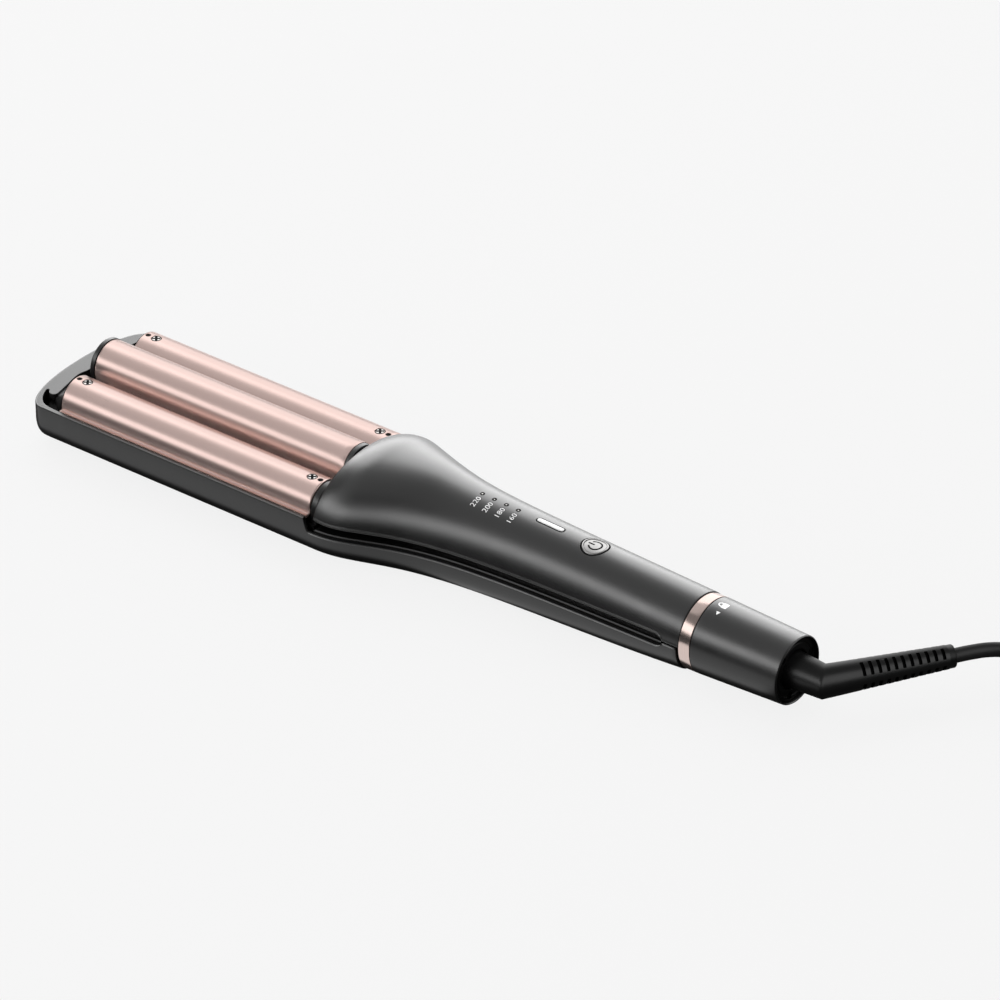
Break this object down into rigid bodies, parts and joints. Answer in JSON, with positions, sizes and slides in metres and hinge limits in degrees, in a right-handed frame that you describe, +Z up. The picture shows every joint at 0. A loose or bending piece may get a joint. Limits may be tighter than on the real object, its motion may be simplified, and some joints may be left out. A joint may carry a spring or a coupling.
{
  "type": "hair waver",
  "caption": "Corded three-barrel hair waver with a hinged lower arm, a fixed wave plate, a raised middle barrel, a rotary lock collar and a swivel cord.",
  "frame": {"origin": "on the resting face, under the middle of the tool's length, without its cord", "axes": "+X along the tool towards the cord end, +Z up, +Y to the left when looking along +X with +Z up"},
  "size_m": [0.5639, 0.1619, 0.0417],
  "materials": {
    "housing": "soft-touch dark grey",
    "collar": "soft-touch dark grey",
    "inner_plastic": "matt black",
    "fairing": "satin black",
    "bracket": "matt dark grey",
    "rose_metal": "satin rose-gold coating",
    "ring": "polished rose gold",
    "black_steel": "black",
    "bare_aluminium": "satin",
    "ceramic": "off-white ceramic",
    "resin": "heat-resistant moulding",
    "probe": "sleeved probe",
    "steel": "bright",
    "board": "solder mask",
    "switch_plastic": "matt",
    "led": "translucent white",
    "bezel": "gloss black",
    "power_face": "spun metallic",
    "button_face": "light grey",
    "rear_face": "matt black",
    "bushing": "matt black",
    "contact_brass": "turned",
    "cord_rubber": "satin black",
    "tie": "matt black",
    "plug_rubber": "satin black",
    "plug_metal": "nickel-plated"
  },
  "bodies": {
    "handle": {"upper_housing": "housing", "upper_cover": "inner_plastic", "middle_barrel": "rose_metal", "barrel_tip_cap": "fairing", "barrel_neck": "fairing", "barrel_core": "bare_aluminium", "barrel_heater": "ceramic", "barrel_mount": "inner_plastic", "thermal_fuse": "ceramic", "control_board": "board", "tact_switches": "switch_plastic", "indicator_leds": "led", "light_pipes": "led", "power_bezel": "bezel", "cover_screws": "steel", "trim_ring": "ring", "hinge_bracket": "bracket", "rear_plate": "rear_face", "rear_plate_screws": "steel", "brush_block": "resin", "opening_spring": "steel"},
    "lower_arm": {"lower_housing": "housing", "lower_cover": "inner_plastic", "wave_plate": "rose_metal", "plate_tip_block": "fairing", "plate_rear_block": "fairing", "plate_screws": "black_steel", "plate_pins": "black_steel", "heat_spreaders": "bare_aluminium", "lower_heaters": "ceramic", "heater_carrier": "resin", "lower_thermistor": "probe", "hinge_pin": "steel"},
    "lock_collar": {"lock_collar": "collar"},
    "power_button": {"power_button": "power_face"},
    "temp_button": {"temp_button": "button_face"},
    "cord_swivel": {"swivel_bushing": "bushing", "slip_rings": "contact_brass", "strain_relief": "cord_rubber", "cord_tube": "cord_rubber", "cord_coil": "cord_rubber", "cord_tail": "cord_rubber", "cord_tie": "tie", "plug_body": "plug_rubber", "plug_pins": "plug_metal"}
  },
  "joints": [
    {"name": "arm_hinge", "type": "hinge", "parent": "handle", "child": "lower_arm", "pos_m": [0.1369, 0, 0.006], "axis": [0, -1, 0], "range_deg": [0, 18]},
    {"name": "lock_turn", "type": "hinge", "parent": "handle", "child": "lock_collar", "pos_m": [0.169, 0, 0.0168], "axis": [1, 0, 0], "range_deg": [0, 35]},
    {"name": "power_press", "type": "slide", "parent": "handle", "child": "power_button", "axis": [0, 0, -1], "range_m": [0, 0.0004], "stiffness_N_per_m": 800, "springref_m": -0.0005},
    {"name": "temp_press", "type": "slide", "parent": "handle", "child": "temp_button", "axis": [0, 0, -1], "range_m": [0, 0.0004], "stiffness_N_per_m": 800, "springref_m": -0.0005},
    {"name": "cord_swivel", "type": "hinge", "parent": "handle", "child": "cord_swivel", "pos_m": [0.19, 0, 0.0168], "axis": [1, 0, 0], "continuous": true}
  ]
}
